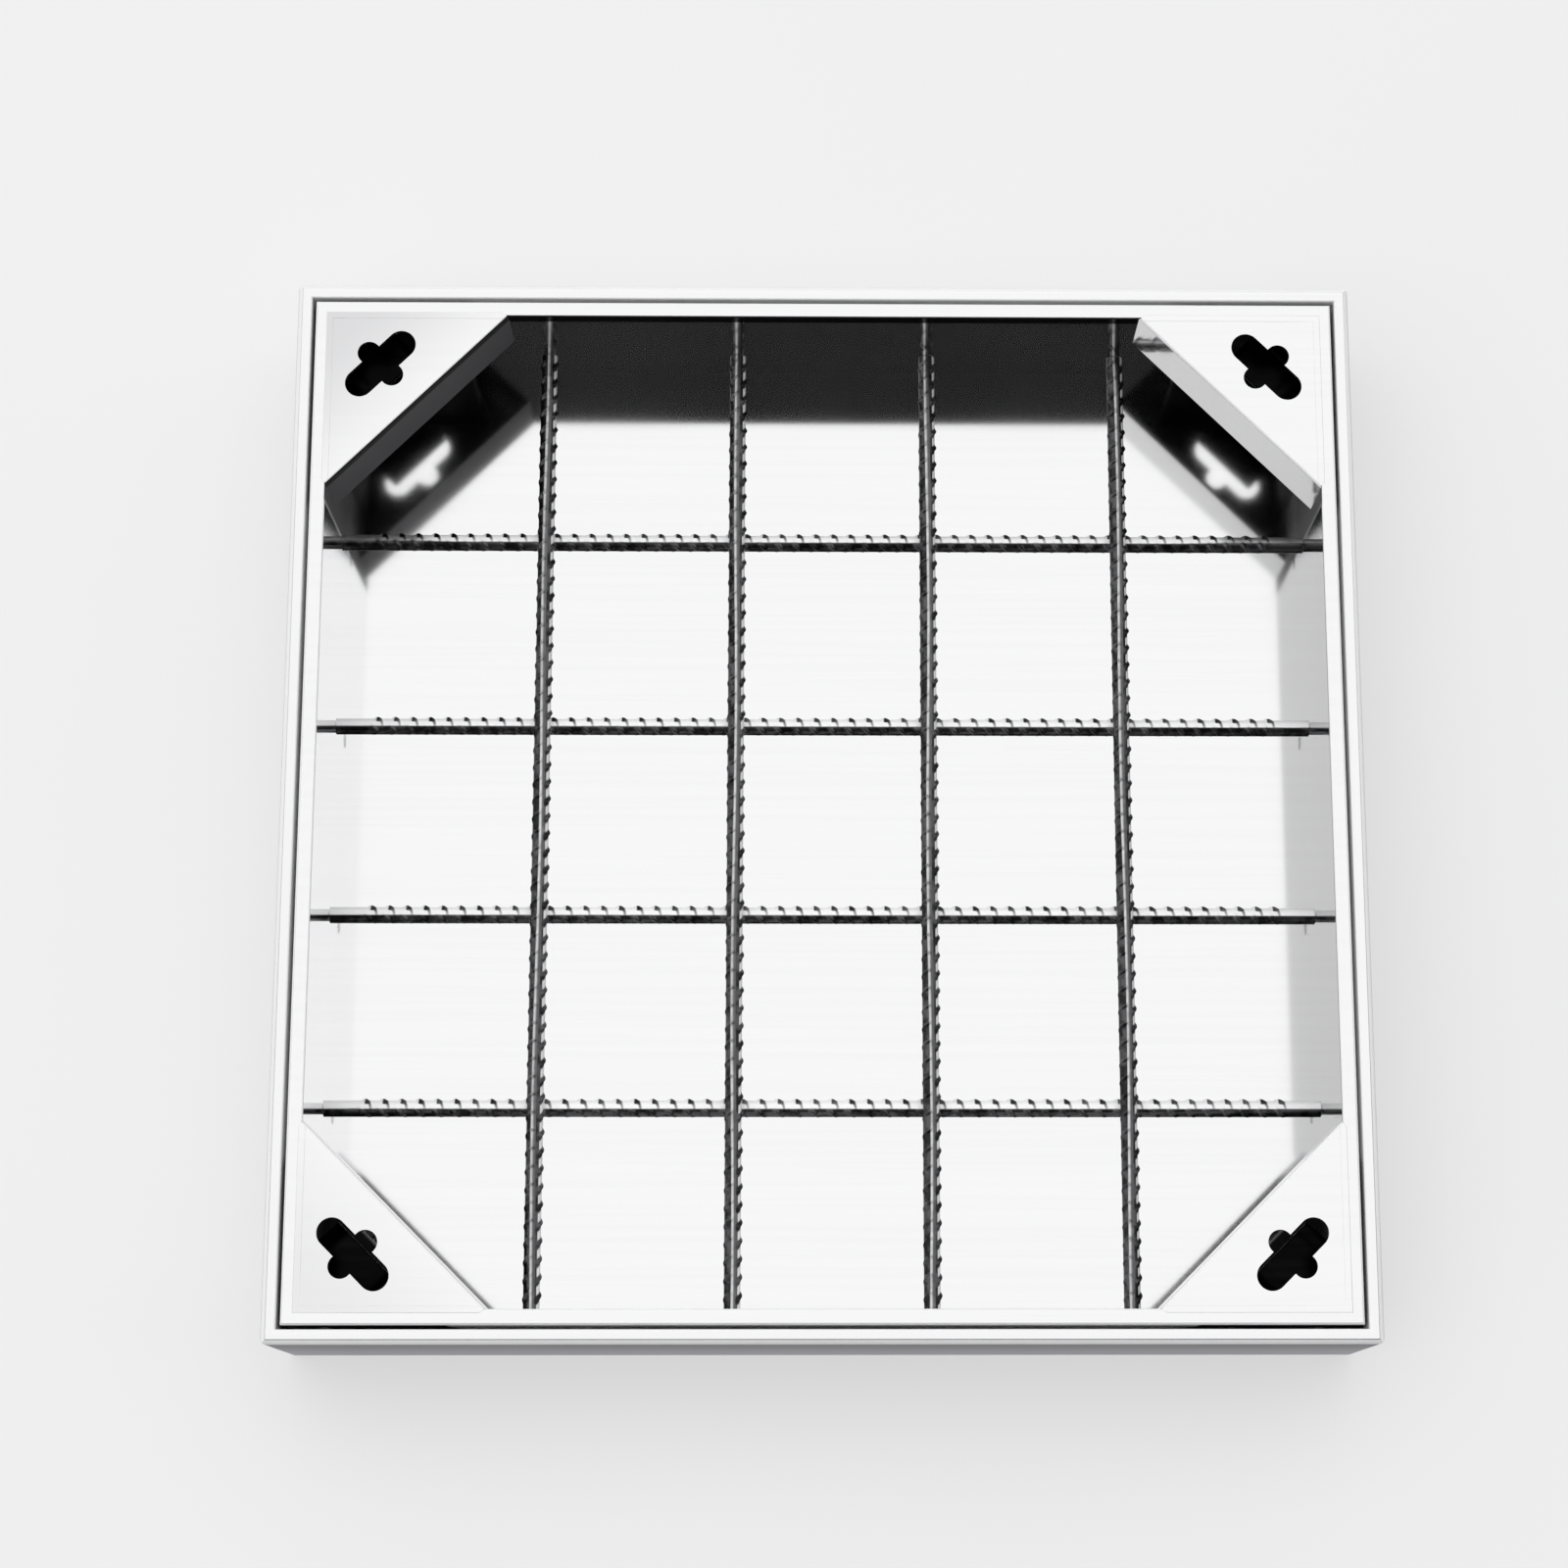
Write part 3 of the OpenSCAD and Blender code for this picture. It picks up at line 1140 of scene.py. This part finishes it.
@dataclass
class Studio:
    """Camera, pale floor, softboxes, screens and a fill lamp."""

    # Camera: its place and the ways it looks and has to its right, and its lens in the photograph's pixels
    photo_side: float = 1600.0
    camera_at: tuple[float, float, float] = (-0.0074, -0.4008, 1.7840)
    look: tuple[float, float, float] = (0.01398, 0.20607, -0.97844)
    right: tuple[float, float, float] = (0.99990, -0.00141, 0.01399)
    focal_pixels: float = 3197.0
    principal: tuple[float, float] = (871.7, 896.1)
    sensor: float = 36.0
    clip_end: float = 100.0
    # Floor
    floor_half: float = 9.0
    floor_depth: float = 0.2 * MM
    floor_tone: Colour = (0.39, 0.39, 0.39)
    floor_tint: Colour = (0.38415, 0.38415, 0.3861)
    floor_glow: float = 0.50
    floor_roughness: float = 0.9
    # Softboxes, and the slopes between which the main one's left part is dimmed
    main_box: Softbox = Softbox(((-0.62, -0.40), (0.22, 0.40)), ((-0.24, -0.02), (3.0, 5.0)), 1.04)
    left_box: Softbox = Softbox(((-1.1, -0.9), (-0.34, -0.22)), ((-0.9, -0.6), (0.0, 0.2)), 0.75)
    main_edge: Span = (-0.30, -0.19)
    main_left_share: float = 0.62
    # Ring of screens, which leaves out a dark way, and the pale horizon below it
    ring_low: Span = (0.86, 0.925)
    ring_tone: float = 0.75
    dark_tone: float = 0.018
    dark_way: tuple[float, float] = (0.45, -0.89)
    dark_span: Span = (0.45, 0.75)
    horizon: Span = (0.08, 0.16)
    backdrop_tone: float = 0.84
    least: float = 0.02
    # Fill lamp
    fill_at: tuple[float, float, float] = (-0.3, 0.2, 2.8)
    fill_aim: tuple[float, float, float] = (0.0, 0.0, 0.05)
    fill_size: float = 4.0
    fill_power: float = 48.0

    def build_camera(self) -> None:
        """Sets the camera where the photograph's perspective puts it."""
        data = bpy.data.cameras.new("camera")
        data.sensor_width = self.sensor
        data.lens = self.focal_pixels / self.photo_side * self.sensor
        data.shift_x = (self.photo_side / 2 - self.principal[0]) / self.photo_side
        data.shift_y = (self.principal[1] - self.photo_side / 2) / self.photo_side
        data.clip_end = self.clip_end
        camera = bpy.data.objects.new("camera", data)
        back = -Vector(self.look).normalized()
        across = Vector(self.right)
        across = (across - back * across.dot(back)).normalized()
        turn = Matrix((across, back.cross(across), back)).transposed()
        camera.matrix_world = Matrix.Translation(self.camera_at) @ turn.to_4x4()
        bpy.context.scene.collection.objects.link(camera)
        bpy.context.scene.camera = camera

    def build_floor(self) -> None:
        """Lays a flat pale floor, as a grid of points at one height, just under the cover."""
        side = np.linspace(-self.floor_half, self.floor_half, 3)
        x, y = np.meshgrid(side, side)
        points = np.stack([x, y, np.full_like(x, -self.floor_depth)], axis=-1)
        material, graph, shader = new_material("studio_floor")
        tint = graph.ramp(graph.noise(graph.place(), 3.0), (0.3, 0.7))
        graph.fill(shader, {
            "Base Color": graph.blend(tint, self.floor_tone, self.floor_tint),
            "Roughness": self.floor_roughness,
            "Specular IOR Level": 0.0})
        path = graph.node("LightPath").outputs
        seen = graph.larger(path["Is Camera Ray"], path["Is Glossy Ray"])
        seen = graph.larger(seen, path["Is Transmission Ray"])
        glow = graph.node("Emission")
        graph.feed(glow.inputs["Strength"], graph.math("MULTIPLY", seen, self.floor_glow))
        total = graph.node("AddShader")
        graph.feed(total.inputs[0], shader.outputs[0])
        graph.feed(total.inputs[1], glow.outputs[0])
        graph.feed(material.node_tree.nodes["Material Output"].inputs["Surface"], total.outputs[0])
        floor = place_piece("studio_floor", grid_mesh("studio_floor", points, closed_across=False), material)

    def build_world(self) -> None:
        """Surrounds the cover with a softbox overhead and behind, and pale screens round the sides.

        The softbox is weaker at its left, where a second one adds to it. Below them a ring of screens
        runs round all sides but the front and its right, which stay dark down to the pale horizon. The
        camera sees a plain backdrop instead.
        """
        world = bpy.data.worlds.new("studio")
        bpy.context.scene.world = world
        world.use_nodes = True
        graph = Graph(world.node_tree)
        across, along, up = graph.split(graph.node("TexCoord").outputs["Generated"])
        height = graph.larger(up, self.least)
        u, v = (graph.math("DIVIDE", part, height) for part in (across, along))
        dim_left = graph.ramp(u, self.main_edge, self.main_left_share, 1.0)
        main_mask = graph.both(self.main_box.mask(graph, u, v), dim_left)
        main_light = graph.math("MULTIPLY", main_mask, self.main_box.strength)
        left_light = graph.math("MULTIPLY", self.left_box.mask(graph, u, v), self.left_box.strength)
        reach = graph.math("SQRT", graph.math("SUBTRACT", 1.0, graph.math("MULTIPLY", up, up)))
        way = graph.math("MULTIPLY", along, self.dark_way[1])
        way = graph.math("MULTIPLY_ADD", across, self.dark_way[0], way)
        turned = graph.math("DIVIDE", way, graph.larger(reach, self.least))
        screens = graph.ramp(turned, self.dark_span, self.ring_tone, self.dark_tone)
        ring = graph.math("MULTIPLY", graph.fall(up, self.ring_low), screens)
        horizon = graph.ramp(up, self.horizon, self.backdrop_tone, self.dark_tone)
        light = graph.larger(graph.larger(main_light, left_light), graph.larger(ring, horizon))
        shown = graph.node("Mix", data_type="FLOAT")
        seen = graph.node("LightPath").outputs["Is Camera Ray"]
        graph.fill(shown, {"Factor": seen, "A": light, "B": self.backdrop_tone})
        graph.fill(world.node_tree.nodes["Background"], {"Color": (1.0, 1.0, 1.0, 1.0),
                                                         "Strength": shown.outputs[0]})

    def build_fill(self) -> None:
        """Hangs a large soft lamp overhead, for the surfaces that don't mirror."""
        data = bpy.data.lights.new("fill", "AREA")
        data.shape = "DISK"
        data.size = self.fill_size
        data.energy = self.fill_power
        lamp = bpy.data.objects.new("fill", data)
        lamp.location = self.fill_at
        aim = Vector(self.fill_aim) - Vector(self.fill_at)
        lamp.rotation_euler = aim.to_track_quat("-Z", "Y").to_euler()
        lamp.visible_glossy = False
        lamp.visible_camera = False
        bpy.context.scene.collection.objects.link(lamp)

    def build(self) -> None:
        """Sets up the whole studio."""
        bpy.context.scene.view_settings.view_transform = "Standard"
        self.build_camera()
        self.build_floor()
        self.build_world()
        self.build_fill()
        LOG.info("studio ready")


def main() -> None:
    """Builds the studio, the finishes and the pieces, in that order."""
    logging.basicConfig(level=logging.INFO, format="%(name)s: %(message)s")
    Studio().build()
    SheetWork(brushed_group()).build()
    RibbedBars(BarFinish().build(scale_group())).build()


if __name__ == "__main__":
    main()
